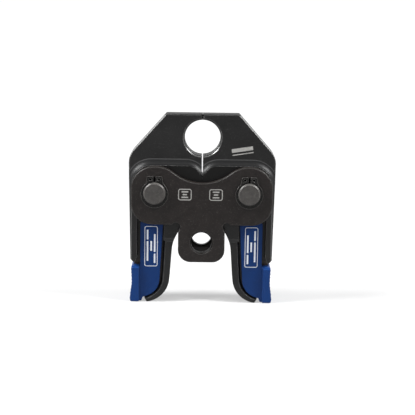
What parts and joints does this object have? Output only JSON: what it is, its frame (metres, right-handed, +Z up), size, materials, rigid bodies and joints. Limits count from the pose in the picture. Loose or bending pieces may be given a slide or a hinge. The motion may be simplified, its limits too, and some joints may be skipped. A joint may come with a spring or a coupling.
{
  "type": "press fitting tool jaw",
  "caption": "Press jaw with a split grooved pressing bore, two hinged jaw halves between T-shaped side plates, a locking pin bore and plastic thumb grips.",
  "frame": {"origin": "centre of the tool pin bore, in the middle plane", "axes": "+Z up through the pressing bore, +Y to the back along both bores, +X to the right"},
  "size_m": [0.101, 0.0408, 0.1311],
  "materials": {
    "jaw_steel": "black oxide, satin",
    "plate_steel": "black oxide, fine matte",
    "pin_steel": "ground, dark",
    "ring_steel": "phosphated spring steel",
    "spring_steel": "drawn wire",
    "grip_plastic": "blue moulded, satin",
    "screw_steel": "blackened"
  },
  "bodies": {
    "plates": {"front_side_plate": "plate_steel", "rear_side_plate": "plate_steel", "left_pivot_pin": "pin_steel", "right_pivot_pin": "pin_steel", "front_left_retaining_ring": "ring_steel", "front_right_retaining_ring": "ring_steel", "rear_left_retaining_ring": "ring_steel", "rear_right_retaining_ring": "ring_steel", "closing_spring": "spring_steel"},
    "left_jaw": {"left_jaw": "jaw_steel", "left_grip_front": "grip_plastic", "left_grip_rear": "grip_plastic", "left_upper_grip_screw": "screw_steel", "left_lower_grip_screw": "screw_steel"},
    "right_jaw": {"right_jaw": "jaw_steel", "right_grip_front": "grip_plastic", "right_grip_rear": "grip_plastic", "right_upper_grip_screw": "screw_steel", "right_lower_grip_screw": "screw_steel"}
  },
  "joints": [
    {"name": "left_jaw_pivot", "type": "hinge", "parent": "plates", "child": "left_jaw", "pos_m": [-0.0323, 0, 0.034], "axis": [0, -1, 0], "range_deg": [0, 15], "stiffness_Nm_per_rad": 2, "springref_deg": -20.05, "deforming": ["closing_spring"]},
    {"name": "right_jaw_pivot", "type": "hinge", "parent": "plates", "child": "right_jaw", "pos_m": [0.0323, 0, 0.034], "axis": [0, 1, 0], "range_deg": [0, 15], "stiffness_Nm_per_rad": 2, "springref_deg": -20.05, "deforming": ["closing_spring"]}
  ]
}
